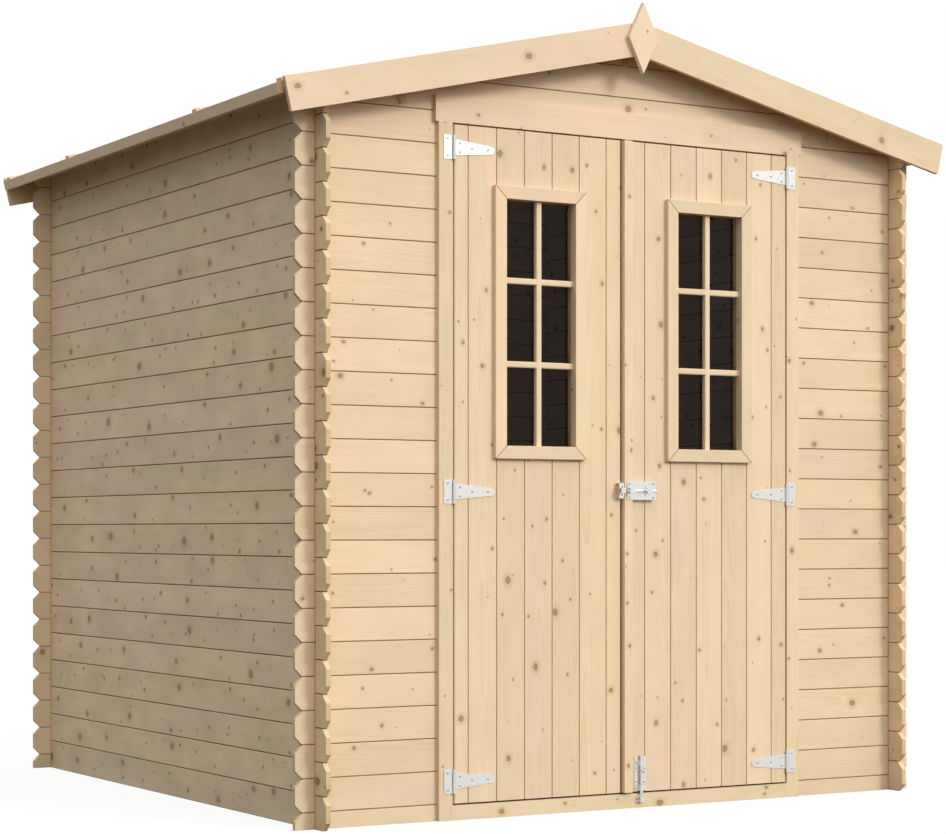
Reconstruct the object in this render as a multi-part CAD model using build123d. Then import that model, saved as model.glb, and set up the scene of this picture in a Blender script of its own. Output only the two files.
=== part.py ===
from build123d import *
import os
from math import ceil, cos, radians, sin, tan

# Wooden garden shed of tongue-and-groove wall boards crossed at the corners, in millimetres.
# Origin: middle of the square plan at ground level. The front faces -Y, and Z is up.

# Walls
boards_to_eave = 21.9          # how many wall boards reach from the ground to the eaves
board = 14.0                   # thickness of wall, roof, door and trim boards
plan = 1970.0                  # outside width and depth over the wall faces
front_pass = 58.5              # front and rear boards run this far past the side walls
side_pass = 65.0               # side boards run this far past the front and rear walls
end_bevel = 22.0               # 45 degree bevel on the corners of each board's end
joint_vee = 2.5                # bevel along each board's outer edges, which makes the joint lines
notch_play = 0.3               # room beside a board in its notch
eave_height = 1971.0           # top of a side wall at its outer face

# Roof
pitch = 13.0                   # slope of the roof in degrees
gable_overhang = 71.0          # roof boards run this far past the gable walls
eave_run = 1137.0              # roof boards, along the slope from ridge to eave
felt = 2.0                     # roofing felt
batten_wide = 28.0
batten_thick = 10.5
batten_near = 490.0            # battens stand this far each side of the middle
batten_edge_gap = 12.0         # from the outer battens to the edge of the roof
batten_ridge_gap = 10.0
barge_wide = 92.0
barge_past = 1.5               # barge boards run past the roof boards at the eave
fascia_high = 30.0
fascia_short = 12.0            # fascia stops this far behind each edge of the roof
purlin_wide = 16.0
purlin_height = 86.0
purlin_run = 760.0             # side purlins, along the slope from the ridge
purlin_pass = 8.0              # purlins run this far past the gable walls
finial_wide = 98.0
finial_high = 200.0
finial_rise = 52.0             # finial's tip above the barge boards

# Doorway
opening_wide = 1144.0
doorway_drop = 67.0            # from the eaves down to the top of the doorway
sill_high = 41.0
jamb_face = 43.0               # width of the boards that frame the doorway
jamb_lap = 14.0                # thickness of the web that holds the cut wall boards
head_face = 73.0
head_past = 10.0               # head board runs past the jamb boards
head_inner = 43.0
stop_lap = 12.0                # inner frame boards lap this far behind the leaves
door_gap = 5.0                 # gap round and between the leaves
meeting = -19.0                # middle of the gap between the leaves, along X
ledge_high = 90.0
ledge_thick = 18.0
ledge_inset = 25.0
strip_wide = 27.0              # strip along the right leaf's meeting edge

# Windows, one in the middle of each leaf
pane_wide = 226.0
pane_high = 681.0
window_drop = 198.0            # from the top of the doorway down to the window's clear opening
trim_wide = 36.0
glass = 4.0
glass_bearing = 12.0
glass_play = 0.3
inner_trim = 16.0
right_window_shift = 7.5       # the right window stands this far right of its leaf's middle

# T hinges
lowest_hinge = 107.0
middle_hinge_drop = 128.0      # from the bottom of the window down to the middle hinge
top_hinge_drop = 68.0          # from the top of the doorway down to the top hinge
plate_thick = 2.0
hinge_plate_wide = 31.0
hinge_plate_high = 66.0
knuckle_radius = 4.5
pin_radius = 2.5
pin_play = 0.15
knuckle_gap = 0.5
strap_long = 129.0
strap_root = 44.0
strap_tip = 22.0

# Sliding latch across the gap
latch_height = 904.0
latch_left = -10.0             # left end of its plate, along X
latch_long = 99.0
latch_high = 51.0
rod_radius = 5.0
rod_play = 0.3
rod_bevel = 1.0
guide_thick = 2.0
guide_foot = 8.0
guide_long = 18.0
guide_margin = 2.0             # from the plate's near end to the first guide
rod_tip = -13.0                # tip of the drawn-back rod, along X
rod_long = 100.0
knob_radius = 4.0
knob_long = 18.0
latch_knob = 55.0              # knob from the rod's tip
latch_guide_inset = 19.0       # rear guide from the plate's right end
keeper_left = -37.0
keeper_high = 44.0

# Bolt at the foot of the right leaf
foot_x = 44.5
foot_plate_wide = 40.0
foot_plate_low = 48.0
foot_plate_high = 98.0
foot_rod_low = 40.0
foot_rod_long = 110.0
foot_knob = 64.0               # knob from the rod's lower end
foot_guide_long = 16.0
foot_guide_margin = 10.0       # from the plate's top to the upper guide
foot_keeper_low = 17.0

# Worked out from the sizes above
course = eave_height / boards_to_eave      # height that one wall board covers, 90 mm
half = plan / 2
slope = radians(pitch)
ridge_under = eave_height + half * tan(slope)
roof_half = half + gable_overhang
opening_top = eave_height - doorway_drop
window_low = opening_top - window_drop - pane_high
hinge_heights = (lowest_hinge, window_low - middle_hinge_drop, opening_top - top_hinge_drop)
jamb_in = opening_wide / 2
jamb_web = jamb_in + jamb_lap
jamb_out = jamb_in + jamb_face
wall_split = (ceil((opening_top + jamb_lap) / course - 0.5) + 0.5) * course
face_y = -half - board
leaf_low = sill_high + door_gap
leaf_top = opening_top - door_gap
left_leaf = (-jamb_in + door_gap, meeting - door_gap / 2)
right_leaf = (meeting + door_gap / 2, jamb_in - door_gap)
barge_top = board + felt + batten_thick
knuckle_x = jamb_in - door_gap / 2
knuckle_y = face_y - knuckle_radius
latch_face = face_y - board - guide_thick
rod_y = latch_face - rod_radius - rod_play
foot_rod_y = face_y - plate_thick - rod_radius - rod_play
beyond = 2 * plan              # past every piece, for the tools that cut


def box(x, y, z):
    """A block between two values on each axis."""
    size = [abs(b - a) for a, b in (x, y, z)]
    centre = [(a + b) / 2 for a, b in (x, y, z)]
    return Pos(*centre) * Box(*size)


def polygon(points):
    return make_face(Polyline(*points, close=True))


def along_y(face, low, high):
    """Extrude a face drawn in X and Z from one Y to another."""
    return Plane.XZ.offset(-low) * extrude(face, -(high - low))


def along_x(face, low, high):
    """Extrude a face drawn in Y and Z from one X to another."""
    return Plane.YZ.offset(low) * extrude(face, high - low)


def roof_point(run, rise, side=1):
    """A point at a run down one slope and a rise square to the roof boards' underside."""
    x = run * cos(slope) + rise * sin(slope)
    return (side * x, ridge_under - run * sin(slope) + rise * cos(slope))


def ridge_point(rise):
    return (0, ridge_under + rise / cos(slope))


def joint_heights(first):
    """Heights of the joints between boards, up to above the ridge."""
    heights = [first]
    while heights[-1] < ridge_under:
        heights.append(heights[-1] + course)
    return heights


def stepped_outline(tip, first):
    """A wall seen square on, with bevelled board ends on both sides."""
    right = []
    if first > 0:
        right.append((tip, 0))
    else:
        right.append((tip - end_bevel, 0))
        right.append((tip, end_bevel))
    for height in joint_heights(first if first > 0 else course):
        right += [(tip, height - end_bevel), (tip - end_bevel, height), (tip, height + end_bevel)]
    left = [(-s, z) for s, z in reversed(right)]
    return polygon(right + left)


def board_profile(outer, inner, first, top_outer, top_inner):
    """Section through a wall, with a vee along every joint on its outer face."""
    way = 1 if inner > outer else -1
    points = [(outer, 0)]
    for height in joint_heights(first):
        if 0 < height < min(top_outer, top_inner) - joint_vee:
            points += [(outer, height - joint_vee), (outer + way * joint_vee, height),
                       (outer, height + joint_vee)]
    return polygon(points + [(outer, top_outer), (inner, top_inner), (inner, 0)])


def notches(first_core):
    """Where the crossing wall's boards pass through, on both sides of a wall."""
    faces = []
    core = first_core
    while core - course / 4 < ridge_under:
        low = max(core - course / 4, 0)
        high = core + course / 4
        for side in (-1, 1):
            middle = side * (half - board / 2)
            faces.append(Pos(middle, (low + high) / 2) * Rectangle(board + 2 * notch_play, high - low))
        core += course
    return faces


def under_roof():
    """The region below the roof boards, seen from the front."""
    run = plan / cos(slope)
    return polygon([(-plan, 0), (plan, 0), roof_point(run, 0), ridge_point(0), roof_point(run, 0, -1)])


def purlin_sections():
    """Left, ridge and right purlins in section."""
    narrow = purlin_wide / 2
    shoulder = ridge_under - narrow * tan(slope)
    sections = {"ridge_purlin": polygon([
        (-narrow, ridge_under - purlin_height), (narrow, ridge_under - purlin_height),
        (narrow, shoulder), (0, ridge_under), (-narrow, shoulder)])}
    for name, side in (("left_purlin", -1), ("right_purlin", 1)):
        sections[name] = polygon([roof_point(purlin_run + run, rise, side) for run, rise in (
            (-narrow, 0), (narrow, 0), (narrow, -purlin_height), (-narrow, -purlin_height))])
    return sections


def side_wall(side):
    """A wall of whole courses from the ground, planed to the slope at its top."""
    outer = side * half
    inner = side * (half - board)
    profile = board_profile(outer, inner, course, eave_height, eave_height + board * tan(slope))
    elevation = stepped_outline(half + side_pass, 0)
    elevation -= notches(0)
    return along_y(profile, -beyond, beyond) & along_x(elevation, min(outer, inner), max(outer, inner))


def gable_elevation():
    """A gable wall of boards that start with half a course, notched for walls and purlins."""
    elevation = stepped_outline(half + front_pass, course / 2) & under_roof()
    elevation -= notches(course / 2)
    elevation -= list(purlin_sections().values())
    return elevation


def gable_wall(region, side):
    """The part of a gable wall inside a region, on the front (-1) or rear (1)."""
    outer = side * half
    inner = side * (half - board)
    above = ridge_under + course
    profile = board_profile(outer, inner, course / 2, above, above)
    slab = along_y(gable_elevation() & region, min(outer, inner), max(outer, inner))
    return slab & along_x(profile, -beyond, beyond)


def rectangle(x, z):
    return Pos((x[0] + x[1]) / 2, (z[0] + z[1]) / 2) * Rectangle(abs(x[1] - x[0]), abs(z[1] - z[0]))


def front_walls():
    high = ridge_under + course
    over_door = rectangle((-beyond, beyond), (wall_split, high))
    over_door += rectangle((-jamb_web, jamb_web), (opening_top + jamb_lap, wall_split))
    return {
        "front_wall_left": gable_wall(rectangle((-beyond, -jamb_web), (0, wall_split)), -1),
        "front_wall_right": gable_wall(rectangle((jamb_web, beyond), (0, wall_split)), -1),
        "front_gable": gable_wall(over_door, -1),
    }


def doorway():
    """Jambs and head that grip the cut wall boards and stop the leaves, and the sill between them."""
    outside = (face_y, -half)
    within = (-half, -half + board)
    inside = (-half + board, -half + 2 * board)
    stop_half = jamb_in - stop_lap
    parts = {}
    for name, side in (("left_door_jamb", -1), ("right_door_jamb", 1)):
        face = (side * jamb_in, side * jamb_out)
        web = (side * jamb_in, side * jamb_web)
        stop = (side * stop_half, side * jamb_out)
        upright = (0, opening_top)
        parts[name] = box(face, outside, upright) + box(web, within, upright) + box(stop, inside, upright)
    head_half = jamb_out + head_past
    parts["door_head"] = (
        box((-head_half, head_half), outside, (opening_top, opening_top + head_face))
        + box((-jamb_web, jamb_web), within, (opening_top, opening_top + jamb_lap))
        + box((-jamb_out, jamb_out), inside, (opening_top, opening_top + head_inner))
        + box((-stop_half, stop_half), inside, (opening_top - stop_lap, opening_top)))
    parts["door_sill"] = (box((-jamb_in, jamb_in), (outside[0], within[1]), (0, sill_high))
                          + box((-stop_half, stop_half), inside, (0, sill_high)))
    return parts


def roof_slab(side, low, high, run):
    """One slope between two rises, mitred at the ridge."""
    return polygon([ridge_point(low), roof_point(run, low, side),
                    roof_point(run, high, side), ridge_point(high)])


def roof():
    parts = {}
    barge_run = eave_run + barge_past
    for name, side in (("left", -1), ("right", 1)):
        parts[f"{name}_roof_deck"] = along_y(roof_slab(side, 0, board, eave_run), -roof_half, roof_half)
        fascia = polygon([roof_point(eave_run + run, board + felt - drop, side) for run, drop in (
            (0, 0), (board, 0), (board, fascia_high), (0, fascia_high))])
        fascia_half = roof_half - fascia_short
        parts[f"{name}_eave_fascia"] = along_y(fascia, -fascia_half, fascia_half)
        barge = roof_slab(side, barge_top - barge_wide, barge_top, barge_run)
        parts[f"front_{name}_barge_board"] = along_y(barge, -roof_half - board, -roof_half)
        parts[f"rear_{name}_barge_board"] = along_y(barge, roof_half, roof_half + board)
        section = polygon([roof_point(run, rise, side) for run, rise in (
            (batten_ridge_gap, board + felt), (eave_run, board + felt),
            (eave_run, barge_top), (batten_ridge_gap, barge_top))])
        edge = roof_half - batten_edge_gap - batten_wide / 2
        battens = [along_y(section, y - batten_wide / 2, y + batten_wide / 2)
                   for y in (-edge, -batten_near, batten_near, edge)]
        parts[f"{name}_roof_battens"] = Compound(children=battens)
    parts["roof_felt"] = along_y(
        roof_slab(-1, board, board + felt, eave_run) + roof_slab(1, board, board + felt, eave_run),
        -roof_half, roof_half)
    for name, section in purlin_sections().items():
        parts[name] = along_y(section, -half - purlin_pass, half + purlin_pass)
    tip = ridge_point(barge_top)[1] + finial_rise
    finial = polygon([(0, tip), (finial_wide / 2, tip - finial_high / 2),
                      (0, tip - finial_high), (-finial_wide / 2, tip - finial_high / 2)])
    parts["finial"] = along_y(finial, -roof_half - 2 * board, -roof_half - board)
    return parts


def door_leaf(name, leaf, window_shift):
    """Boards with a window opening, ledges behind them, window frame and glass."""
    middle = (leaf[0] + leaf[1]) / 2 + window_shift
    pane_x = (middle - pane_wide / 2, middle + pane_wide / 2)
    pane_z = (window_low, window_low + pane_high)

    def grown(margin):
        return rectangle((pane_x[0] - margin, pane_x[1] + margin), (pane_z[0] - margin, pane_z[1] + margin))

    boards = rectangle(leaf, (leaf_low, leaf_top)) - grown(0)
    ring = grown(trim_wide) - grown(0)
    bead = grown(trim_wide) - grown(glass_bearing)
    behind = -half
    ledges = [box((leaf[0] + ledge_inset, leaf[1] - ledge_inset), (behind, behind + ledge_thick),
                  (z - ledge_high / 2, z + ledge_high / 2)) for z in hinge_heights]
    return {
        f"{name}_door_boards": along_y(boards, face_y, behind),
        f"{name}_door_ledges": Compound(children=ledges),
        f"{name}_window_outer_trim": along_y(ring, face_y - board, face_y),
        f"{name}_window_inner_trim": (along_y(bead, behind, behind + glass + glass_play)
                                      + along_y(ring, behind + glass + glass_play, behind + inner_trim)),
        f"{name}_window_glass": along_y(grown(glass_bearing - glass_play), behind, behind + glass),
    }


def knuckle(low, high):
    return Pos(0, 0, (low + high) / 2) * Cylinder(knuckle_radius, high - low)


def hinge_plate(height):
    """Plate on the jamb with two knuckles and the pin, its leaf towards +X."""
    tall = hinge_plate_high / 2
    inner = strap_root / 2 + knuckle_gap
    back = knuckle_radius
    plate = box((0, hinge_plate_wide), (back - plate_thick, back), (-tall, tall))
    clear = box((0, knuckle_radius + knuckle_gap), (back - plate_thick, back), (-inner, inner))
    pin = Cylinder(pin_radius, hinge_plate_high)
    return Pos(0, 0, height) * (plate - clear + knuckle(inner, tall) + knuckle(-tall, -inner) + pin)


def hinge_strap(height):
    """Tapered strap with a round tip, its length towards -X."""
    root = strap_root / 2
    tip = strap_tip / 2
    back = knuckle_radius
    outline = polygon([(0, -root), (0, root), (-strap_long + tip, tip), (-strap_long + tip, -tip)])
    outline += Pos(-strap_long + tip, 0) * Circle(tip)
    strap = along_y(outline, back - plate_thick, back)
    bore = Cylinder(pin_radius + pin_play, strap_root)
    return Pos(0, 0, height) * (strap + knuckle(-root, root) - bore)


def hinges():
    """Three T hinges a side, modelled at the right jamb and mirrored for the left."""
    spot = Pos(knuckle_x, knuckle_y, 0)
    plates = [spot * hinge_plate(z) for z in hinge_heights]
    straps = [spot * hinge_strap(z) for z in hinge_heights]
    return {
        "right_hinge_plates": Compound(children=plates),
        "right_hinge_straps": Compound(children=straps),
        "left_hinge_plates": Compound(children=[mirror(plate, Plane.YZ) for plate in plates]),
        "left_hinge_straps": Compound(children=[mirror(strap, Plane.YZ) for strap in straps]),
    }


def guide_section(reach):
    """Hat section that bridges a rod: feet on a face at 0, and the crown out at the reach."""
    inner = rod_radius + rod_play
    outer = inner + guide_thick
    foot = outer + guide_foot
    return polygon([(-foot, 0), (-foot, guide_thick), (-outer, guide_thick), (-outer, reach),
                    (outer, reach), (outer, guide_thick), (foot, guide_thick), (foot, 0),
                    (inner, 0), (inner, reach - guide_thick), (-inner, reach - guide_thick), (-inner, 0)])


def level_guide(left, long, face, reach):
    """A guide round a level rod, standing on a face towards -Y."""
    turned = Plane(origin=(left, face, latch_height), x_dir=(0, 0, 1), z_dir=(1, 0, 0))
    return turned * extrude(guide_section(reach), long)


def upright_guide(low, long, face, reach):
    """A guide round the upright rod, standing on a face towards -Y."""
    turned = Plane(origin=(foot_x, face, low), x_dir=(-1, 0, 0), z_dir=(0, 0, 1))
    return turned * extrude(guide_section(reach), long)


def rod(radius, long, end):
    """A rod from the origin towards +Z, bevelled at its first (0) or last (-1) end."""
    bar = Pos(0, 0, long / 2) * Cylinder(radius, long)
    return chamfer(bar.edges().filter_by(GeomType.CIRCLE).sort_by(Axis.Z)[end], rod_bevel)


def knob():
    """A knob from the middle of a rod towards -Y."""
    return Rot(90, 0, 0) * rod(knob_radius, rod_radius + knob_long, -1)


def pressed_plate(ends, foot_left, high):
    """A plate level with the meeting strip, and flanges above and below that reach back to the leaf."""
    low, top = latch_height - high / 2, latch_height + high / 2
    plate = box(ends, (latch_face, latch_face + guide_thick), (low, top))
    for flange in ((low, low + guide_thick), (top - guide_thick, top)):
        plate += box((foot_left, ends[1]), (latch_face, face_y), flange)
    return plate


def latch():
    """Sliding latch on the right leaf, and its keeper on the left one."""
    right = latch_left + latch_long
    bridge = 2 * (rod_radius + rod_play) + guide_thick
    plate = pressed_plate((latch_left, right), right_leaf[0] + strip_wide, latch_high)
    plate += level_guide(latch_left + guide_margin, guide_long, latch_face, bridge)
    plate += level_guide(right - latch_guide_inset - guide_long, guide_long, latch_face, bridge)
    bolt = Pos(rod_tip, rod_y, latch_height) * Rot(0, 90, 0) * rod(rod_radius, rod_long, 0)
    bolt += Pos(rod_tip + latch_knob, rod_y, latch_height) * knob()
    keeper = pressed_plate((keeper_left, left_leaf[1]), keeper_left, keeper_high)
    keeper += level_guide(keeper_left, left_leaf[1] - keeper_left, latch_face, bridge)
    return {"latch_plate": plate, "latch_bolt": bolt, "latch_keeper": keeper}


def foot_bolt():
    """Upright bolt at the foot of the right leaf, and its keeper on the sill."""
    low, high = foot_plate_low, foot_plate_low + foot_plate_high
    half_wide = foot_plate_wide / 2
    plate = box((foot_x - half_wide, foot_x + half_wide), (face_y - plate_thick, face_y), (low, high))
    plate_face = face_y - plate_thick
    bridge = 2 * (rod_radius + rod_play) + guide_thick
    upper = high - foot_guide_margin - foot_guide_long
    plate += upright_guide(low + guide_margin, foot_guide_long, plate_face, bridge)
    plate += upright_guide(upper, foot_guide_long, plate_face, bridge)
    bolt = Pos(foot_x, foot_rod_y, foot_rod_low) * rod(rod_radius, foot_rod_long, 0)
    bolt += Pos(foot_x, foot_rod_y, foot_rod_low + foot_knob) * knob()
    keeper = upright_guide(foot_keeper_low, foot_guide_long, face_y, bridge + plate_thick)
    return {"foot_bolt_plate": plate, "foot_bolt": bolt, "foot_bolt_keeper": keeper}


def build():
    parts = {
        "left_wall": side_wall(-1),
        "right_wall": side_wall(1),
        "rear_wall": gable_wall(rectangle((-beyond, beyond), (0, ridge_under + course)), 1),
    }
    parts.update(front_walls())
    parts.update(doorway())
    parts.update(roof())
    parts.update(door_leaf("left", left_leaf, 0))
    parts.update(door_leaf("right", right_leaf, right_window_shift))
    parts["meeting_strip"] = box((right_leaf[0], right_leaf[0] + strip_wide),
                                 (face_y - board, face_y), (leaf_low, leaf_top))
    parts.update(hinges())
    parts.update(latch())
    parts.update(foot_bolt())
    return parts


def main():
    os.makedirs("parts", exist_ok=True)
    for name, shape in build().items():
        export_step(shape, f"parts/{name}.step")


main()
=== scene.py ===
"""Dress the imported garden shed: pine boards, glazed door leaves, zinc furniture, roof, camera and light.

Every size is in metres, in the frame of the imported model.
"""

import logging
import math
from dataclasses import dataclass
from enum import Enum
from typing import Any, Callable, Iterable, Sequence

import bmesh
import bpy
from mathutils import Matrix, Vector


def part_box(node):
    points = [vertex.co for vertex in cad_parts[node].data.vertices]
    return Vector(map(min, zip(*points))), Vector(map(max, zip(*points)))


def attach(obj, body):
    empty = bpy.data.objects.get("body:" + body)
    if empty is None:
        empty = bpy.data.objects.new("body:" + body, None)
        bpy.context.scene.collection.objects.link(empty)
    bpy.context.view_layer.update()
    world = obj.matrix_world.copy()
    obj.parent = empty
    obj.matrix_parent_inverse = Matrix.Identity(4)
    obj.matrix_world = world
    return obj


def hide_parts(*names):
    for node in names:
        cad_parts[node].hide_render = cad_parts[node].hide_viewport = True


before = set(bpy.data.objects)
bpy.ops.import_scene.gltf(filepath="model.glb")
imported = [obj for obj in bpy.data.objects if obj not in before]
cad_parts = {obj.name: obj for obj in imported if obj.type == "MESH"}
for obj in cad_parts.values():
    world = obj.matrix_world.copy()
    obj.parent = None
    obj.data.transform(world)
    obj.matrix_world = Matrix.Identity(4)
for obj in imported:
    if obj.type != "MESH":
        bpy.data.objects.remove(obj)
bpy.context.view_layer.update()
log = logging.getLogger("shed")

Point = tuple[float, float, float]
Colour = tuple[float, float, float, float]
PITCH = math.radians(13.0)
COURSE = 0.090
TINY = 1e-4
STRAIGHT = 1e-5
JOINT_STEP = 0.0905
JOINT_COUNT = 6
FIRST_JOINT = {"left": -0.5233, "right": 0.0612}
SENSOR = 36.0


class Grain(Enum):
    """Which way a board's length runs, with the axes of its width and thickness."""

    LEVEL_X = "xzy"
    LEVEL_Y = "yzx"
    UPRIGHT = "zxy"
    SLOPE = "xzy slope"
    SLOPE_FLAT = "xyz slope"


class Reading:
    """A shader socket or number that takes part in Python arithmetic."""

    def __init__(self, shader: "Shader", socket: Any) -> None:
        """Keep the shader that owns the socket."""
        self.shader = shader
        self.socket = socket

    def __add__(self, other: Any) -> "Reading":
        """Sum."""
        return self.shader.math("ADD", self, other)

    def __radd__(self, other: Any) -> "Reading":
        """Sum with a number on the left."""
        return self.shader.math("ADD", other, self)

    def __sub__(self, other: Any) -> "Reading":
        """Difference."""
        return self.shader.math("SUBTRACT", self, other)

    def __rsub__(self, other: Any) -> "Reading":
        """Difference from a number on the left."""
        return self.shader.math("SUBTRACT", other, self)

    def __mul__(self, other: Any) -> "Reading":
        """Product."""
        return self.shader.math("MULTIPLY", self, other)

    def __rmul__(self, other: Any) -> "Reading":
        """Product with a number on the left."""
        return self.shader.math("MULTIPLY", other, self)

    def __truediv__(self, other: Any) -> "Reading":
        """Quotient."""
        return self.shader.math("DIVIDE", self, other)

    def __pow__(self, other: Any) -> "Reading":
        """Power."""
        return self.shader.math("POWER", self, other)


class Shader:
    """Builds the node tree of one material, or of the world."""

    def __init__(self, name: str, world: bpy.types.World | None = None) -> None:
        """Start an empty tree.

        Args:
            name: The material's name.
            world: The world whose tree this is, in place of a new material.
        """
        self.material = world or bpy.data.materials.new(name)
        self.material.use_nodes = True
        self.tree = self.material.node_tree
        self.tree.nodes.clear()

    def add(self, kind: str, settings: dict[str, Any] | None = None,
            sockets: dict[Any, Any] | None = None) -> bpy.types.Node:
        """Add a node, set its settings, then fill its sockets.

        Args:
            kind: Blender's type name of the node.
            settings: The node's own settings, such as a Math node's operation.
            sockets: Values or links of the input sockets, by name or number.

        Returns:
            The new node.
        """
        node = self.tree.nodes.new(kind)
        for key, value in (settings or {}).items():
            setattr(node, key, value)
        for key, value in (sockets or {}).items():
            self.fill(node.inputs[key], value)
        return node

    def fill(self, socket: Any, value: Any) -> None:
        """Link a socket to a reading or another socket, or set its value."""
        if isinstance(value, Reading):
            value = value.socket
        if isinstance(value, bpy.types.NodeSocket):
            self.tree.links.new(value, socket)
        else:
            socket.default_value = value

    def math(self, operation: str, *values: Any, clamp: bool = False) -> Reading:
        """Add a Math node and return what it reads."""
        settings = {"operation": operation, "use_clamp": clamp}
        node = self.add("ShaderNodeMath", settings, dict(enumerate(values)))
        return Reading(self, node.outputs[0])

    def mix(self, share: Any, low: Any, high: Any, blend: str = "MIX") -> Any:
        """Mix two colours and return the colour socket."""
        node = self.add("ShaderNodeMix", {"data_type": "RGBA", "blend_type": blend, "clamp_factor": True},
                        {0: share, 6: low, 7: high})
        return node.outputs[2]

    def scaled(self, colour: Any, amount: Any) -> Any:
        """Make a colour brighter or darker and return its socket."""
        return self.add("ShaderNodeVectorMath", {"operation": "SCALE"}, {0: colour, 3: amount}).outputs[0]

    def ease(self, value: Any, low: float, high: float) -> Reading:
        """Rise smoothly from 0 at the low value to 1 at the high one."""
        node = self.add("ShaderNodeMapRange", {"interpolation_type": "SMOOTHSTEP"},
                        {"Value": value, "From Min": low, "From Max": high})
        return Reading(self, node.outputs[0])

    def noise(self, vector: Any, scale: float, detail: float = 2.0, roughness: float = 0.5) -> Reading:
        """Read smooth noise from 0 to 1 at a vector."""
        node = self.add("ShaderNodeTexNoise", {}, {"Vector": vector, "Scale": scale, "Detail": detail,
                                                   "Roughness": roughness})
        return Reading(self, node.outputs["Fac"])

    def vector(self, x: Any, y: Any, z: Any) -> Any:
        """Join three values to a vector socket."""
        return self.add("ShaderNodeCombineXYZ", {}, {0: x, 1: y, 2: z}).outputs[0]

    def split(self, vector: Any) -> list[Reading]:
        """Take a vector apart."""
        node = self.add("ShaderNodeSeparateXYZ", {}, {0: vector})
        return [Reading(self, output) for output in node.outputs]

    def dice(self, x: Any, y: Any, z: Any) -> list[Reading]:
        """Draw three steady random numbers from 0 to 1 for a cell."""
        node = self.add("ShaderNodeTexWhiteNoise", {"noise_dimensions": "3D"},
                        {"Vector": self.vector(x, y, z)})
        return self.split(node.outputs["Color"])

    def principled(self, values: dict[str, Any], height: Any = None,
                   depth: float = 0.0) -> bpy.types.Material:
        """Finish with a Principled surface.

        Args:
            values: The shader's sockets.
            height: What raises the surface, from 0 to 1.
            depth: How far a height of 1 stands out.

        Returns:
            The finished material.
        """
        surface = self.add("ShaderNodeBsdfPrincipled", {}, values)
        if height is not None:
            bump = self.add("ShaderNodeBump", {}, {"Height": height, "Distance": depth, "Strength": 1.0})
            self.fill(surface.inputs["Normal"], bump.outputs[0])
        self.add("ShaderNodeOutputMaterial", {}, {"Surface": surface.outputs[0]})
        return self.material


@dataclass(frozen=True)
class Knots:
    """One size of knots: how far apart, how many cells have one, and how large."""

    spacing: float
    share: float
    small: float
    large: float


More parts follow.
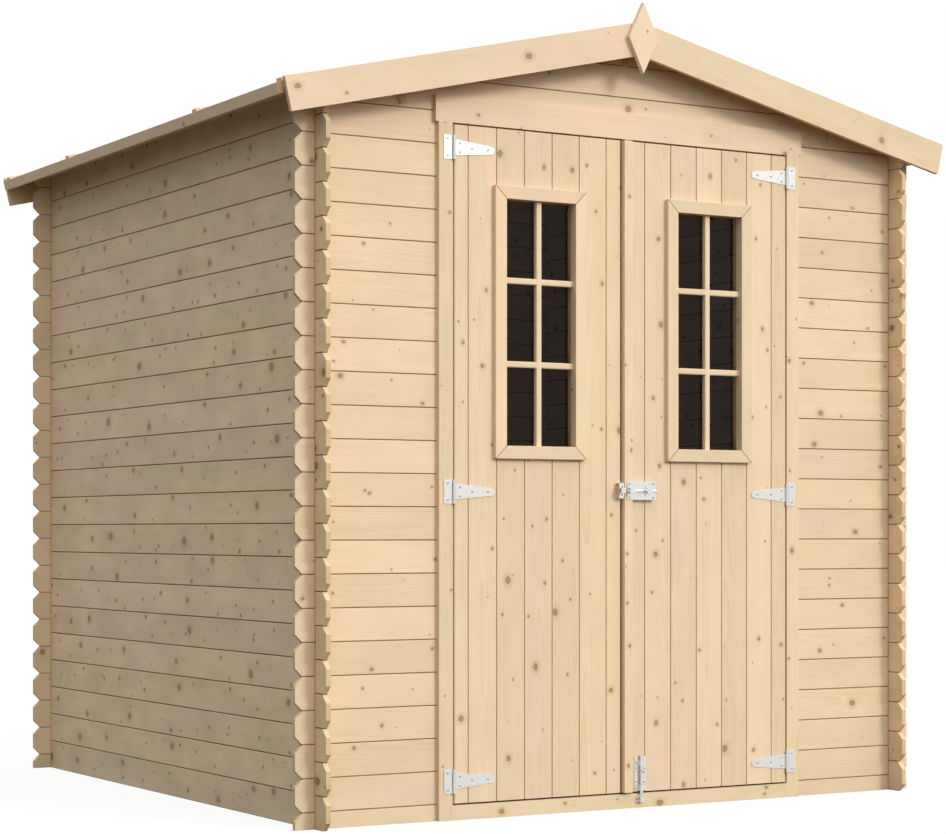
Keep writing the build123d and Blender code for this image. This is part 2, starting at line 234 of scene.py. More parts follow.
@dataclass(frozen=True)
class Pine:
    """Planed, unpainted pine with growth rings, knots and a tint of its own for each board."""

    name: str
    grain: Grain
    seed: float
    middle: tuple[float, float] = (0.0, 0.0)
    cover: float = 0.0
    first: float = 0.0
    side: int = 1
    width: float = 0.09
    early: Colour = (0.800, 0.612, 0.405, 1.0)
    late: Colour = (0.600, 0.395, 0.195, 1.0)
    rosy: Colour = (0.830, 0.600, 0.410, 1.0)
    green: Colour = (0.755, 0.590, 0.355, 1.0)
    heart: Colour = (0.360, 0.195, 0.085, 1.0)
    bark: Colour = (0.220, 0.115, 0.055, 1.0)
    seam: Colour = (0.170, 0.088, 0.030, 1.0)
    halo: Colour = (0.520, 0.330, 0.150, 1.0)
    cut_end: Colour = (0.560, 0.340, 0.130, 1.0)
    ring: float = 0.0045
    seam_half: float = 0.0013
    uneven: float = 0.16
    # places along the length of dark lines painted as contact shade where the boards of two walls cross
    painted_crossing_shade: tuple[float, ...] = ()
    mitres: tuple[float, float, float, float] | None = None
    knots: tuple[Knots, ...] = (Knots(0.33, 0.50, 0.0040, 0.0090), Knots(0.17, 0.42, 0.0014, 0.0042))

    def place(self, shader: Shader) -> tuple[Reading, Reading, Reading]:
        """Read the place along a board's length, across its width and through its thickness.

        Args:
            shader: The material under way.

        Returns:
            Length, width and thickness readings.
        """
        vector = shader.add("ShaderNodeTexCoord").outputs["Object"]
        axes, *slope = self.grain.value.split()
        if slope:
            vector = shader.add("ShaderNodeVectorRotate", {"rotation_type": "Y_AXIS"},
                                {"Vector": vector, "Angle": -self.side * PITCH}).outputs[0]
        reading = dict(zip("xyz", shader.split(vector)))
        return reading[axes[0]], reading[axes[1]], reading[axes[2]]

    def knot_field(self, shader: Shader, kind: Knots, length: Reading, across: Reading, board: Any,
                   turn: float) -> Reading:
        """Read the distance to the nearest knot of one kind, in its own radii.

        Args:
            shader: The material under way.
            kind: The size of the knots.
            length: Place along the board.
            across: Place across the board from its middle.
            board: The board's number.
            turn: Sets the draws of this kind apart.

        Returns:
            0 at the knot's heart, 1 at its edge, and large where there is none.
        """
        cell = shader.math("FLOOR", length / kind.spacing)
        first, second, third = shader.dice(cell, board, self.seed + turn)
        chance, oval, _ = shader.dice(cell, board, self.seed + turn + 31.7)
        radius = third ** 1.6 * (kind.large - kind.small) + kind.small
        along = length - (cell + 0.25 + first * 0.5) * kind.spacing
        beside = across - (second - 0.5) * (self.width * 0.78)
        wobble = shader.noise(shader.vector(length, across, 0.0), 160.0, 1.0) - 0.5
        reach = shader.math("SQRT", (along * (0.70 + oval * 0.3)) ** 2.0 + beside ** 2.0) / radius
        return reach + wobble * 0.55 + shader.math("GREATER_THAN", chance, kind.share) * 50.0

    def build(self) -> bpy.types.Material:
        """Make the material.

        Returns:
            The pine material for one grain direction.
        """
        shader = Shader(self.name)
        length, width, depth = self.place(shader)
        if self.cover:
            board = shader.math("FLOOR", (width - self.middle[0]) / self.cover + self.first)
            across = width - self.middle[0] - (board + (0.5 - self.first)) * self.cover
        else:
            board = 0.5
            across = width - self.middle[0]
        within = depth - self.middle[1]
        one, two, three = shader.dice(board, self.seed, 3.1)
        four, five, six = shader.dice(board, self.seed, 9.7)
        run = length + one * 7.0 + two * 3.0
        knot = shader.math("ADD", run * 0.0, 60.0)
        for turn, kind in enumerate(self.knots):
            knot = shader.math("MINIMUM", knot,
                               self.knot_field(shader, kind, run, across, board, 5.0 * turn))
        sway = shader.noise(shader.vector(run, board, self.seed), 1.3, 1.0) - 0.5
        dip = shader.noise(shader.vector(run, board, self.seed + 40.0), 0.9, 1.0) - 0.5
        swell = shader.math("EXPONENT", knot * knot * -0.16)
        from_pith = shader.math("SQRT", (across - (three - 0.5) * 0.10 - sway * 0.045) ** 2.0
                                + (within - 0.018 - four * 0.055 - dip * 0.050) ** 2.0)
        ragged = shader.noise(shader.vector(run * 6.0, across * 60.0, within * 60.0), 1.0, 1.0)
        rings = from_pith / self.ring + swell * 1.8 + ragged * 0.5
        late = shader.math("FRACT", rings) ** 2.0
        streak = shader.noise(shader.vector(run * 1.6, across * 46.0, within * 46.0 + board * 5.0),
                              1.0, 3.0, 0.6)
        fibre = shader.noise(shader.vector(run * 24.0, across * 900.0, within * 900.0), 1.0, 1.0, 0.6)
        normal = shader.add("ShaderNodeTexCoord").outputs["Normal"]
        ends = self.end_share(shader, normal)

        patch = shader.noise(shader.vector(run * 2.4, across * 15.0 + board * 3.0, within * 15.0), 1.0, 1.0)
        tone = shader.ease(patch + (five - 0.5) * 0.5, 0.26, 0.76)
        wood = shader.mix(late * (0.18 + two * 0.26) + (streak - 0.46) * 0.58, self.early, self.late)
        wood = shader.mix(0.45, wood, shader.mix(tone, self.green, self.rosy))
        wood = shader.mix(shader.ease(knot, 3.0, 0.8) * 0.40, wood, self.halo)
        core = shader.ease(knot, 1.15, 0.70)
        rim = core * shader.ease(knot, 0.45, 0.90)
        wood = shader.mix(core * 0.80, wood, self.heart)
        wood = shader.mix(rim * 0.55, wood, self.bark)
        wood = shader.mix(ends * 0.45, wood, self.cut_end)
        smear = shader.noise(shader.vector(run * 5.0, across * 9.0 + board * 7.0, within * 9.0),
                             1.0, 2.0, 0.6)
        wood = shader.scaled(wood, 0.945 + six * 0.09 + (fibre - 0.5) * 0.08 + (smear - 0.5) * self.uneven)
        line = self.lines(shader, length, width, across)
        if line is not None:
            wood = shader.mix(line, wood, self.seam)
        return shader.principled(
            {"Base Color": wood, "Roughness": 0.66 - late * 0.08 - core * 0.14, "Specular IOR Level": 0.32},
            height=streak * 0.35 + fibre * 0.45, depth=0.0005)

    def lines(self, shader: Shader, length: Reading, width: Reading, across: Reading) -> Reading | None:
        """Read the dark lines: joints between boards, painted contact shade where the boards cross at the
        corners, and mitres.

        Args:
            shader: The material under way.
            length: Place along the board.
            width: Place across the whole piece.
            across: Place across the board from its middle.

        Returns:
            1 in a line and 0 away from it, or None where the piece has none.
        """
        found = []
        if self.cover:
            gap = self.cover / 2 - shader.math("ABSOLUTE", across)
            found.append(shader.ease(gap, self.seam_half * 1.6, self.seam_half * 0.6))
        # painted shade: a dark line where the boards of the two walls cross at the corners
        for place in self.painted_crossing_shade:
            gap = shader.math("ABSOLUTE", shader.math("ABSOLUTE", length) - place)
            found.append(shader.ease(gap, 0.0016, 0.0006) * 0.8)
        if self.mitres:
            centre_x, centre_z, half_x, half_z = self.mitres
            x, z = (width, length) if self.grain is Grain.UPRIGHT else (length, width)
            beside = half_x - shader.math("ABSOLUTE", x - centre_x)
            above = half_z - shader.math("ABSOLUTE", z - centre_z)
            found.append(shader.ease(shader.math("ABSOLUTE", beside - above), 0.0020, 0.0008) * 0.75)
        line = None
        for part in found:
            line = part if line is None else shader.math("MAXIMUM", line, part)
        return line

    def end_share(self, shader: Shader, normal: Any) -> Reading:
        """Read how squarely the surface cuts the grain, from 0 to 1."""
        axes, *slope = self.grain.value.split()
        if slope:
            normal = shader.add("ShaderNodeVectorRotate", {"rotation_type": "Y_AXIS"},
                                {"Vector": normal, "Angle": -self.side * PITCH}).outputs[0]
        along = dict(zip("xyz", shader.split(normal)))[axes[0]]
        return shader.ease(shader.math("ABSOLUTE", along), 0.45, 0.95)


@dataclass(frozen=True)
class Zinc:
    """Bright zinc-plated steel, a little cloudy and scuffed."""

    name: str = "zinc plated steel"
    colour: Colour = (0.740, 0.725, 0.700, 1.0)
    dull: Colour = (0.540, 0.540, 0.530, 1.0)

    def build(self) -> bpy.types.Material:
        """Make the material."""
        shader = Shader(self.name)
        place = shader.add("ShaderNodeTexCoord").outputs["Object"]
        cloud = shader.noise(place, 90.0, 4.0, 0.6)
        speck = shader.noise(place, 900.0, 2.0)
        length, width, depth = shader.split(place)
        brushed = shader.vector(length * 30.0, depth * 600.0, width * 40.0)
        scuff = shader.ease(shader.noise(brushed, 1.0, 1.0), 0.60, 0.74)
        tone = shader.mix(cloud * 0.55 + scuff * 0.25, self.colour, self.dull)
        return shader.principled(
            {"Base Color": tone, "Metallic": 1.0, "Roughness": 0.22 + cloud * 0.10 + scuff * 0.10},
            height=speck * 0.1 + cloud * 0.5, depth=0.00004)


@dataclass(frozen=True)
class Glass:
    """Clear window glass with a trace of dust."""

    name: str = "window glass"
    clear: Colour = (0.72, 0.65, 0.58, 1.0)
    dusty: Colour = (0.64, 0.56, 0.49, 1.0)
    bend: float = 1.20

    def build(self) -> bpy.types.Material:
        """Make the material."""
        shader = Shader(self.name)
        place = shader.add("ShaderNodeTexCoord").outputs["Object"]
        dust = shader.noise(place, 14.0, 4.0, 0.6)
        wave = shader.noise(place, 5.0, 1.0)
        return shader.principled(
            {"Base Color": shader.mix(dust, self.clear, self.dusty),
             "Transmission Weight": 1.0, "IOR": self.bend, "Roughness": 0.01 + dust * 0.03},
            height=wave, depth=0.0006)


@dataclass(frozen=True)
class Felt:
    """Bitumen roofing felt with a mineral surface."""

    name: str = "bitumen felt"
    dark: Colour = (0.030, 0.032, 0.035, 1.0)
    pale: Colour = (0.135, 0.138, 0.142, 1.0)
    worn: Colour = (0.105, 0.105, 0.100, 1.0)

    def build(self) -> bpy.types.Material:
        """Make the material."""
        shader = Shader(self.name)
        place = shader.add("ShaderNodeTexCoord").outputs["Object"]
        grit = shader.add("ShaderNodeTexVoronoi", {}, {"Vector": place, "Scale": 620.0})
        weather = shader.noise(place, 3.5, 5.0, 0.6)
        grain = shader.split(grit.outputs["Color"])[0]
        tone = shader.mix(grain, self.dark, self.pale)
        tone = shader.mix(weather * 0.5, tone, self.worn)
        return shader.principled({"Base Color": tone, "Roughness": 0.86 + grain * 0.1},
                                 height=grain, depth=0.0007)


class Bench:
    """Shapes pieces with Blender's own modelling tools."""

    @staticmethod
    def clear() -> None:
        """Leave edit mode and deselect everything."""
        if bpy.context.object and bpy.context.object.mode != "OBJECT":
            bpy.ops.object.mode_set(mode="OBJECT")
        bpy.ops.object.select_all(action="DESELECT")

    @staticmethod
    def take(pieces: Sequence[bpy.types.Object]) -> None:
        """Select these pieces only, with the first one active."""
        Bench.clear()
        for piece in pieces:
            piece.select_set(True)
        bpy.context.view_layer.objects.active = pieces[0]

    @staticmethod
    def settle(piece: bpy.types.Object) -> bpy.types.Object:
        """Put the piece's place into its mesh."""
        Bench.take([piece])
        bpy.ops.object.transform_apply(location=True, rotation=True, scale=True)
        return piece

    @staticmethod
    def block(name: str, low: Sequence[float], high: Sequence[float]) -> bpy.types.Object:
        """Add a block between two corners.

        Args:
            name: The piece's name.
            low: Its lowest corner.
            high: Its highest corner.

        Returns:
            The block, with its place in its mesh.
        """
        Bench.clear()
        centre = [(a + b) / 2 for a, b in zip(low, high)]
        bpy.ops.mesh.primitive_cube_add(size=1.0, location=centre, scale=[b - a for a, b in zip(low, high)])
        piece = bpy.context.object
        piece.name = name
        return Bench.settle(piece)

    @staticmethod
    def bevel(piece: bpy.types.Object, width: float, chosen: Callable[[Vector, Vector], bool],
              segments: int = 1) -> bpy.types.Object:
        """Bevel the edges that a test picks by their two ends."""
        Bench.take([piece])
        bpy.ops.object.mode_set(mode="EDIT")
        bpy.ops.mesh.select_mode(type="EDGE")
        bpy.ops.mesh.select_all(action="DESELECT")
        mesh = bmesh.from_edit_mesh(piece.data)
        for edge in mesh.edges:
            edge.select_set(chosen(edge.verts[0].co, edge.verts[1].co))
        bmesh.update_edit_mesh(piece.data)
        bpy.ops.mesh.bevel(offset=width, segments=segments, affect="EDGES")
        bpy.ops.object.mode_set(mode="OBJECT")
        return piece

    @staticmethod
    def slice(piece: bpy.types.Object, point: Sequence[float], normal: Sequence[float]) -> bpy.types.Object:
        """Cut away what lies on the normal's side of a plane and close the cut."""
        Bench.take([piece])
        bpy.ops.object.mode_set(mode="EDIT")
        bpy.ops.mesh.select_all(action="SELECT")
        bpy.ops.mesh.bisect(plane_co=point, plane_no=normal, use_fill=True, clear_outer=True)
        bpy.ops.object.mode_set(mode="OBJECT")
        return piece

    @staticmethod
    def cut(piece: bpy.types.Object, cutter: bpy.types.Object) -> bpy.types.Object:
        """Cut one piece out of another and throw the cutter away."""
        modifier = piece.modifiers.new("cut", "BOOLEAN")
        modifier.operation = "DIFFERENCE"
        modifier.solver = "EXACT"
        modifier.object = cutter
        Bench.take([piece])
        bpy.ops.object.modifier_apply(modifier=modifier.name)
        bpy.data.objects.remove(cutter)
        return piece

    @staticmethod
    def join(name: str, pieces: Sequence[bpy.types.Object]) -> bpy.types.Object:
        """Join pieces into one object."""
        Bench.take(pieces)
        if len(pieces) > 1:
            bpy.ops.object.join()
        joined = bpy.context.object
        joined.name = name
        return joined

    @staticmethod
    def copy(piece: bpy.types.Object, shift: Sequence[float]) -> bpy.types.Object:
        """Copy a piece with its own mesh and move the mesh."""
        twin = piece.copy()
        twin.data = piece.data.copy()
        twin.data.transform(Matrix.Translation(shift))
        bpy.context.collection.objects.link(twin)
        return twin


def dress(piece: bpy.types.Object, material: bpy.types.Material) -> bpy.types.Object:
    """Give a piece one material all over."""
    piece.data.materials.clear()
    piece.data.materials.append(material)
    return piece


def present(piece: bpy.types.Object, body: str, replaced: Iterable[str] = ()) -> None:
    """Hand a new piece to the frame and report it."""
    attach(piece, body)
    nodes = list(replaced)
    if nodes:
        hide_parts(*nodes)
    log.info("%s: %d faces on %s", piece.name, len(piece.data.polygons), body)


def upright_edges(a: Vector, b: Vector) -> bool:
    """Tell whether an edge runs up."""
    rises = abs(a.z - b.z) > 0.5 * (a - b).length + STRAIGHT / 10
    return rises and abs(a.x - b.x) < STRAIGHT and abs(a.y - b.y) < STRAIGHT


@dataclass
class DoorLeaf:
    """One glazed leaf: vertical boards, mitred window trims and glazing bars."""

    side: str
    joints: tuple[float, ...]
    vee: float = 0.0022
    bar_wide: float = 0.0175
    bar_deep: float = 0.014
    bar_round: float = 0.0035
    bar_set_back: float = 0.0003
    bar_lap: float = 0.0025
    bar_levels: tuple[float, float] = (1.2510, 1.4820)
    bar_middle: float = 1.36
    board_wide: float = JOINT_STEP
    trim_wide: float = 0.036
    trim_round: float = 0.0009
    cut_past: float = 0.01

    def boards(self) -> bpy.types.Object:
        """Model the leaf's vertical boards with a vee along every joint, cut out round the window.

        Returns:
            The leaf's boards as one piece.
        """
        low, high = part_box(f"{self.side}_door_boards")
        edges = [low.x, *self.joints, high.x]
        pieces = []
        for number, (left, right) in enumerate(zip(edges, edges[1:])):
            board = Bench.block(f"board {number}", (left, low.y, low.z), (right, high.y, high.z))
            pieces.append(Bench.bevel(board, self.vee, upright_edges))
        pane_low, pane_high = self.pane()
        for number, piece in enumerate(pieces):
            left, right = edges[number], edges[number + 1]
            if right > pane_low.x and left < pane_high.x:
                cutter = Bench.block("cutter", (pane_low.x, low.y - self.cut_past, pane_low.z),
                                     (pane_high.x, high.y + self.cut_past, pane_high.z))
                Bench.cut(piece, cutter)
        leaf = Bench.join(f"{self.side}_leaf_boards", pieces)
        finish = Pine(f"{self.side} leaf pine", Grain.UPRIGHT, 11.0 if self.side == "left" else 23.0,
                      (self.joints[0], (low.y + high.y) / 2), cover=self.board_wide,
                      seam=(0.480, 0.290, 0.120, 1.0),
                      knots=(Knots(0.24, 0.55, 0.0038, 0.0090), Knots(0.15, 0.50, 0.0013, 0.0042)))
        return dress(leaf, finish.build())

    def pane(self) -> tuple[Vector, Vector]:
        """Find the clear opening of the window from its trim.

        Returns:
            The opening's lowest and highest corners.
        """
        low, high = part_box(f"{self.side}_window_outer_trim")
        inset = Vector((self.trim_wide, 0.0, self.trim_wide))
        return low + inset, high - inset

    def trim(self) -> list[bpy.types.Object]:
        """Model the outer window trim of two stiles and two rails, mitred at the corners.

        Returns:
            The stiles and the rails.
        """
        low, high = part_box(f"{self.side}_window_outer_trim")
        wide = self.trim_wide
        corners = {"left": (low.x, low.x + wide), "right": (high.x - wide, high.x)}
        stiles = []
        for name, (left, right) in corners.items():
            stile = Bench.block(f"stile {name}", (left, low.y, low.z), (right, high.y, high.z))
            outward = -1.0 if name == "left" else 1.0
            inner = right if name == "left" else left
            Bench.slice(stile, (inner, low.y, low.z + wide), (-outward, 0.0, -1.0))
            Bench.slice(stile, (inner, low.y, high.z - wide), (-outward, 0.0, 1.0))
            stiles.append(stile)
        rails = []
        for name, (bottom, top) in {"low": (low.z, low.z + wide), "high": (high.z - wide, high.z)}.items():
            rail = Bench.block(f"rail {name}", (low.x, low.y, bottom), (high.x, high.y, top))
            outward = -1.0 if name == "low" else 1.0
            inner = top if name == "low" else bottom
            Bench.slice(rail, (low.x + wide, low.y, inner), (-1.0, 0.0, -outward))
            Bench.slice(rail, (high.x - wide, low.y, inner), (1.0, 0.0, -outward))
            rails.append(rail)
        made = []
        for name, pieces, grain in (("stiles", stiles, Grain.UPRIGHT), ("rails", rails, Grain.LEVEL_X)):
            piece = Bench.join(f"{self.side}_outer_{name}", pieces)
            Bench.bevel(piece, self.trim_round, lambda a, b: (a - b).length > TINY)
            seed = 31.0 + len(name) + (3.0 if self.side == "left" else 0.0)
            middle = ((low.x + high.x) / 2 if grain is Grain.UPRIGHT else (low.z + high.z) / 2,
                      (low.y + high.y) / 2)
            corners = ((low.x + high.x) / 2, (low.z + high.z) / 2,
                       (high.x - low.x) / 2, (high.z - low.z) / 2)
            finish = Pine(f"{self.side} outer {name} pine", grain, seed, middle, mitres=corners,
                          knots=(Knots(0.4, 0.2, 0.001, 0.002),))
            made.append(dress(piece, finish.build()))
        return made

    def bars(self) -> list[bpy.types.Object]:
        """Model the glazing bars: one upright, and a level bar in halves at two heights.

        Returns:
            The upright bar and the level bars.
        """
        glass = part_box(f"{self.side}_window_glass")[0].y
        low, high = self.pane()
        front = glass - self.bar_deep
        face = glass - self.bar_deep * 0.7
        half = self.bar_wide / 2
        middle = (low.x + high.x) / 2
        upright = Bench.block("upright", (middle - half, front, low.z), (middle + half, glass, high.z))
        Bench.bevel(upright, self.bar_round, lambda a, b: upright_edges(a, b) and a.y < face, 2)
        finish = Pine(f"{self.side} bar pine", Grain.UPRIGHT, 41.0, (middle, front), knots=())
        dress(upright, finish.build())
        upright.name = f"{self.side}_upright_bar"
        levels = []
        for level in self.bar_levels:
            for left, right in ((low.x, middle - half + self.bar_lap),
                                (middle + half - self.bar_lap, high.x)):
                bar = Bench.block("level", (left, front + self.bar_set_back, level - half),
                                  (right, glass, level + half))
                Bench.bevel(bar, self.bar_round,
                            lambda a, b: abs(a.x - b.x) > self.bar_wide and max(a.y, b.y) < face, 2)
                levels.append(bar)
        across = Bench.join(f"{self.side}_level_bars", levels)
        finish = Pine(f"{self.side} level bar pine", Grain.LEVEL_X, 43.0, (self.bar_middle, front),
                      knots=())
        dress(across, finish.build())
        return [upright, across]

    def build(self) -> None:
        """Build the leaf's pieces and hand them over."""
        body = f"{self.side}_door"
        present(self.boards(), body, [f"{self.side}_door_boards"])
        for piece in self.trim():
            present(piece, body, [f"{self.side}_window_outer_trim"])
        for piece in self.bars():
            present(piece, body)


@dataclass
class Screws:
    """Cross-slotted pan heads that hold the zinc hardware."""

    radius: float = 0.0033
    high: float = 0.0014
    rounds: int = 20
    dome: float = 0.45
    slot_long: float = 0.62
    slot_wide: float = 0.16
    hinge_axis: float = 0.5695
    hinge_levels: tuple[float, ...] = (0.107, 0.897, 1.836)
    flat_face: float = -1.0010
    latch_face: float = -1.0150
    keeper_face: float = -1.0170
    on_plate: tuple[tuple[float, float], ...] = ((0.0195, 0.023), (0.0195, -0.023))
    on_strap: tuple[tuple[float, float], ...] = ((0.019, 0.0125), (0.019, -0.0125), (0.058, 0.0),
                                                 (0.108, 0.0))
    on_latch: tuple[tuple[float, float], ...] = ((-0.002, 0.8845), (-0.002, 0.9235), (0.080, 0.8845),
                                                 (0.080, 0.9235))
    on_foot_plate: tuple[tuple[float, float], ...] = ((0.0305, 0.074), (0.0585, 0.074), (0.0305, 0.112),
                                                      (0.0585, 0.112))
    on_latch_keeper: tuple[tuple[float, float], ...] = ((-0.0290, 0.8927), (-0.0290, 0.9153))
    on_foot_keeper: tuple[tuple[float, float], ...] = ((0.0332, 0.0250), (0.0558, 0.0250))

    def head(self) -> bpy.types.Object:
        """Model one head at the origin, with its back on the plate and its slot to the front.

        Returns:
            The head, to be copied.
        """
        Bench.clear()
        bpy.ops.mesh.primitive_cylinder_add(vertices=self.rounds, radius=self.radius, depth=self.high,
                                            location=(0.0, -self.high / 2, 0.0),
                                            rotation=(math.pi / 2, 0.0, 0.0))
        piece = Bench.settle(bpy.context.object)
        Bench.bevel(piece, self.high * self.dome, lambda a, b: max(a.y, b.y) < -self.high * 0.9, 2)
        long, narrow = self.radius * self.slot_long, self.radius * self.slot_wide
        for across, upward in ((long, narrow), (narrow, long)):
            cutter = Bench.block("cutter", (-across, -self.high * 1.5, -upward),
                                 (across, -self.high * 0.5, upward))
            Bench.cut(piece, cutter)
        return piece

    def groups(self) -> dict[str, tuple[str, list[Point]]]:
        """List where the heads sit, by group.

        Returns:
            Each group's body and places.
        """
        found: dict[str, tuple[str, list[Point]]] = {}
        for side, sign in (("left", -1.0), ("right", 1.0)):
            found[f"{side}_plate_screws"] = ("shed", [
                (sign * (self.hinge_axis + x), self.flat_face, level + z)
                for level in self.hinge_levels for x, z in self.on_plate])
            found[f"{side}_strap_screws"] = (f"{side}_door", [
                (sign * (self.hinge_axis - x), self.flat_face, level + z)
                for level in self.hinge_levels for x, z in self.on_strap])
        for name, body, face, places in (
                ("latch_screws", "right_door", self.latch_face, self.on_latch),
                ("foot_bolt_screws", "right_door", self.flat_face, self.on_foot_plate),
                ("latch_keeper_screws", "left_door", self.keeper_face, self.on_latch_keeper),
                ("foot_keeper_screws", "shed", self.flat_face, self.on_foot_keeper)):
            found[name] = (body, [(x, face, z) for x, z in places])
        return found

    def build(self) -> None:
        """Copy the head to every place, in a darker zinc that paints shade on the heads."""
        head = self.head()
        # the heads get a darker copy of the zinc: painted shade for the shade that falls in their slots and
        # recesses
        finish = Zinc("zinc screws darkened as painted shade", (0.500, 0.500, 0.490, 1.0), (0.320, 0.320, 0.320, 1.0)).build()
        for name, (body, places) in self.groups().items():
            piece = Bench.join(name, [Bench.copy(head, place) for place in places])
            present(dress(piece, finish), body)
        bpy.data.objects.remove(head)


@dataclass
class RoofBoards:
    """The boards of both slopes, side by side from the ridge to the eave."""

    cover: float = COURSE
    thick: float = 0.014
    vee: float = 0.002
    run: float = 1.137
    past_ridge: float = 0.02
    least: float = 0.02
    first: float = -11.5

    def slope(self, side: str) -> bpy.types.Object:
        """Model one slope's boards under the felt.

        Args:
            side: The slope's side, left or right.

        Returns:
            The slope's boards as one piece.
        """
        sign = -1.0 if side == "left" else 1.0
        low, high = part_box(f"{side}_roof_deck")
        ridge_top = high.z
        ridge_under = ridge_top - self.thick / math.cos(PITCH)
        edges = [low.y]
        place = self.first * self.cover
        while place < high.y - self.least:
            if place > low.y + self.least:
                edges.append(place)
            place += self.cover
        edges.append(high.y)
        pieces = []
        for left, right in zip(edges, edges[1:]):
            board = Bench.block("roof board", (-self.past_ridge, left, 0.0), (self.run, right, self.thick))
            Bench.bevel(board, self.vee,
                        lambda a, b: abs(a.x - b.x) > self.run / 2 and max(a.z, b.z) < self.thick / 2)
            pieces.append(board)
        deck = Bench.join(f"{side}_roof_boards", pieces)
        turn = Matrix.Rotation(PITCH, 4, "Y")
        deck.data.transform(Matrix.Translation((0.0, 0.0, ridge_under)) @ turn)
        if sign < 0:
            deck.data.transform(Matrix.Rotation(math.pi, 4, "Z"))
        Bench.slice(deck, (0.0, 0.0, 0.0), (-sign, 0.0, 0.0))
        middle_rise = (ridge_under + ridge_top) / 2 * math.cos(PITCH)
        finish = Pine(f"{side} roof pine", Grain.SLOPE_FLAT, 51.0 + sign,
                      (self.first * self.cover, middle_rise), cover=self.cover, side=int(sign))
        return dress(deck, finish.build())

    def build(self) -> None:
        """Build both slopes."""
        for side in ("left", "right"):
            present(self.slope(side), "shed", [f"{side}_roof_deck"])


@dataclass
class CadFinishes:
    """Materials for the CAD nodes that stay."""

    level: tuple[str, ...] = ("rear_wall", "front_wall_left", "front_wall_right", "front_gable")
    sides: tuple[str, ...] = ("left_wall", "right_wall")
    half_board: float = 0.5
    wall_middle: float = 0.978
    # where the walls' boards cross at the corners, darkened as painted contact shade
    painted_crossing_shade: tuple[float, float] = (0.9707, 0.9853)
    barge_middle: float = 0.046
    batten_rise: float = 0.041
    widest: float = 0.09
    flat: tuple[str, ...] = ("door_head", "door_sill", "left_door_ledges", "right_door_ledges")
    upright: tuple[str, ...] = ("left_door_jamb", "right_door_jamb", "meeting_strip", "finial",
                                "left_window_inner_trim", "right_window_inner_trim")
    ridge: tuple[str, ...] = ("ridge_purlin", "left_purlin", "right_purlin", "left_eave_fascia",
                              "right_eave_fascia")
    slope: tuple[str, ...] = ("front_left_barge_board", "front_right_barge_board", "rear_left_barge_board",
                              "rear_right_barge_board")
    battens: tuple[str, ...] = ("left_roof_battens", "right_roof_battens")

    def dress_node(self, node: str, material: bpy.types.Material) -> None:
        """Give a CAD node its material."""
        dress(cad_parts[node], material)
        log.info("%s: %s", node, material.name)

    def build(self) -> None:
        """Dress every CAD node that stays."""
        seed = 60.0
        for node in self.level + self.sides:
            low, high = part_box(node)
            seed += 1.0
            if node in self.level:
                finish = Pine(f"{node} pine", Grain.LEVEL_X, seed, (0.0, (low.y + high.y) / 2), COURSE,
                              self.half_board, painted_crossing_shade=self.painted_crossing_shade, seam=(0.330, 0.190, 0.080, 1.0))
            else:
                wall = -self.wall_middle if node == "left_wall" else self.wall_middle
                finish = Pine(f"{node} pine", Grain.LEVEL_Y, seed, (0.0, wall), COURSE, 0.0,
                              painted_crossing_shade=self.painted_crossing_shade, heart=(0.250, 0.135, 0.065, 1.0),
                              bark=(0.130, 0.070, 0.035, 1.0), uneven=0.42,
                              knots=(Knots(0.19, 0.70, 0.0040, 0.0125), Knots(0.12, 0.60, 0.0018, 0.0050)))
            self.dress_node(node, finish.build())
        for nodes, grain, across, through in (
                (self.flat, Grain.LEVEL_X, 2, 1), (self.upright, Grain.UPRIGHT, 0, 1),
                (self.ridge, Grain.LEVEL_Y, 2, 0)):
            for node in nodes:
                low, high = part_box(node)
                centre = (low + high) / 2
                seed += 1.0
                finish = Pine(f"{node} pine", grain, seed, (centre[across], centre[through]),
                              width=min((high - low)[across], self.widest))
                self.dress_node(node, finish.build())
        for node in self.slope + self.battens:
            low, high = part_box(node)
            seed += 1.0
            side = -1 if "left" in node else 1
            rise = high.z * math.cos(PITCH) - self.barge_middle
            grain = Grain.SLOPE if node in self.slope else Grain.SLOPE_FLAT
            centre = (rise, (low.y + high.y) / 2) if node in self.slope else (0.0, rise + self.batten_rise)
            self.dress_node(node, Pine(f"{node} pine", grain, seed, centre, side=side).build())
        zinc = Zinc().build()
        for node in ("left_hinge_plates", "right_hinge_plates", "foot_bolt_keeper", "left_hinge_straps",
                     "right_hinge_straps", "latch_keeper", "latch_plate", "foot_bolt_plate", "latch_bolt",
                     "foot_bolt"):
            self.dress_node(node, zinc)
        glass = Glass().build()
        for node in ("left_window_glass", "right_window_glass"):
            self.dress_node(node, glass)
        self.dress_node("roof_felt", Felt().build())


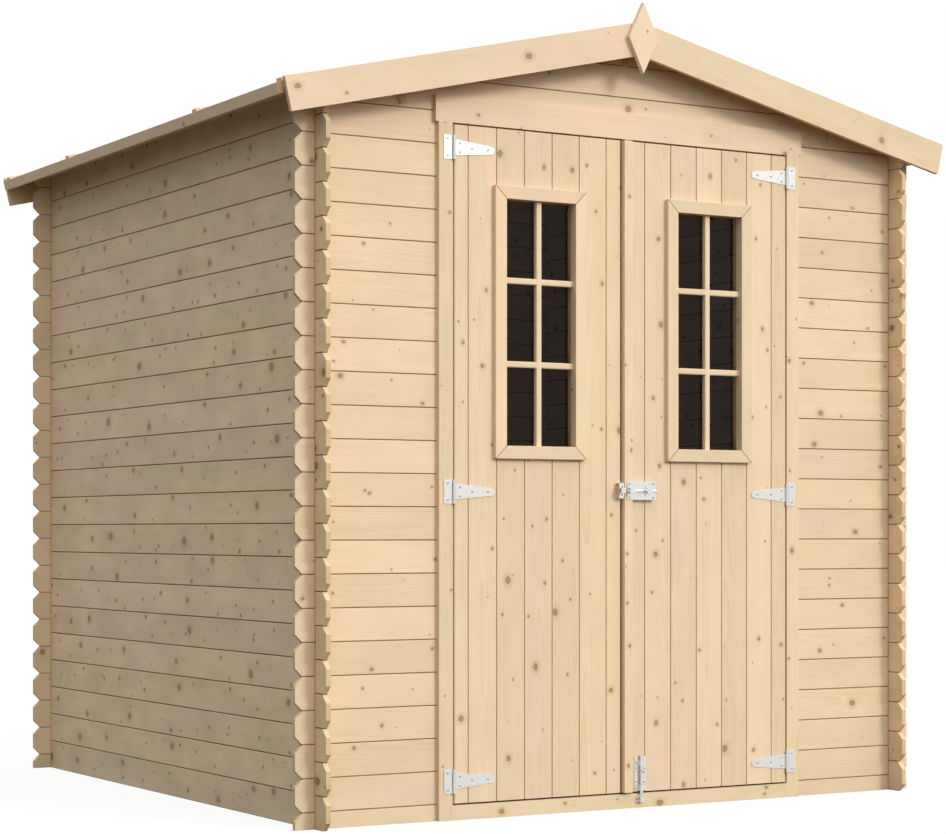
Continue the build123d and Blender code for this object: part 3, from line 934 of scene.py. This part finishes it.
@dataclass
class Studio:
    """Plain pale floor, white background, soft light and the camera."""

    eye: Point = (-3.873, -6.721, 0.792)
    heading: tuple[float, float] = (0.5069, 0.8620)
    lens: float = 92.20
    rise: float = 0.1196
    sun_from: Point = (0.405, -0.807, 0.431)
    sun_strength: float = 1.28
    sun_wide: float = 16.0
    horizon: float = 0.29
    climb: float = 0.94
    front: Point = (0.42, -1.13, 0.0)
    bounce: float = 0.05
    floor_wide: float = 60.0
    floor_drop: float = 0.001
    floor_glow: float = 1.03
    floor_share: float = 0.86
    footprint: tuple[float, float] = (0.960, 0.984)

    def camera(self) -> None:
        """Put the camera where the photograph was taken from."""
        data = bpy.data.cameras.new("camera")
        data.lens = self.lens
        data.sensor_width = SENSOR
        data.shift_y = self.rise
        data.clip_end = 100.0
        camera = bpy.data.objects.new("camera", data)
        camera.location = self.eye
        camera.rotation_euler = (math.pi / 2, 0.0, -math.atan2(self.heading[0], self.heading[1]))
        bpy.context.collection.objects.link(camera)
        bpy.context.scene.camera = camera

    def floor(self) -> None:
        """Lay a pale floor that shows white with a soft shadow, and stays dark inside the shed."""
        Bench.clear()
        bpy.ops.mesh.primitive_plane_add(size=self.floor_wide, location=(0.0, 0.0, -self.floor_drop))
        floor = bpy.context.object
        floor.name = "floor"
        shader = Shader("pale floor")
        seen = shader.add("ShaderNodeLightPath")
        plain = shader.math("MAXIMUM", seen.outputs["Is Camera Ray"], seen.outputs["Is Glossy Ray"])
        plain = shader.math("MAXIMUM", plain, seen.outputs["Is Transmission Ray"])
        dark = (self.bounce * 1.2, self.bounce * 0.95, self.bounce * 0.62, 1.0)
        matt = shader.add("ShaderNodeBsdfDiffuse", {},
                          {"Color": shader.mix(plain, dark, (0.8, 0.8, 0.8, 1.0))})
        white = shader.add("ShaderNodeEmission", {},
                           {"Color": (1.0, 1.0, 1.0, 1.0), "Strength": self.floor_glow})
        x, y, _ = shader.split(shader.add("ShaderNodeTexCoord").outputs["Object"])
        reach = shader.math("MAXIMUM", shader.math("ABSOLUTE", x), shader.math("ABSOLUTE", y))
        share = plain * shader.ease(reach, *self.footprint) * self.floor_share
        mixed = shader.add("ShaderNodeMixShader", {}, {0: share, 1: matt.outputs[0], 2: white.outputs[0]})
        shader.add("ShaderNodeOutputMaterial", {}, {"Surface": mixed.outputs[0]})
        dress(floor, shader.material)

    def light(self) -> None:
        """Add the low sun and the sky."""
        data = bpy.data.lights.new("sun", "SUN")
        data.energy = self.sun_strength
        data.angle = math.radians(self.sun_wide)
        data.color = (1.0, 0.985, 0.96)
        sun = bpy.data.objects.new("sun", data)
        sun.rotation_euler = Vector(self.sun_from).to_track_quat("Z", "Y").to_euler()
        bpy.context.collection.objects.link(sun)
        world = bpy.data.worlds.new("sky")
        bpy.context.scene.world = world
        shader = Shader("sky", world)
        way = shader.add("ShaderNodeTexCoord").outputs["Generated"]
        facing = shader.add("ShaderNodeVectorMath", {"operation": "DOT_PRODUCT"}, {0: way, 1: self.front})
        ahead = shader.math("MAXIMUM", facing.outputs["Value"], 0.0)
        up = shader.math("MAXIMUM", shader.split(way)[2], 0.0)
        plain = shader.add("ShaderNodeBackground", {}, {"Color": (0.94, 0.97, 1.0, 1.0),
                                                        "Strength": ahead + up * self.climb + self.horizon})
        white = shader.add("ShaderNodeBackground", {}, {"Color": (1.0, 1.0, 1.0, 1.0)})
        path = shader.add("ShaderNodeLightPath")
        share = shader.math("MAXIMUM", path.outputs["Is Camera Ray"], path.outputs["Is Glossy Ray"])
        share = shader.math("MAXIMUM", share, path.outputs["Is Transmission Ray"])
        mixed = shader.add("ShaderNodeMixShader", {}, {0: share, 1: plain.outputs[0], 2: white.outputs[0]})
        shader.add("ShaderNodeOutputWorld", {}, {"Surface": mixed.outputs[0]})

    def build(self) -> None:
        """Set up the studio."""
        self.camera()
        self.floor()
        self.light()
        bpy.context.scene.view_settings.view_transform = "Standard"


def main() -> None:
    """Build the scene in order."""
    logging.basicConfig(level=logging.INFO, format="%(message)s")
    Studio().build()
    CadFinishes().build()
    for side, first in FIRST_JOINT.items():
        DoorLeaf(side, tuple(first + JOINT_STEP * step for step in range(JOINT_COUNT))).build()
    Screws().build()
    RoofBoards().build()


if __name__ == "__main__":
    main()
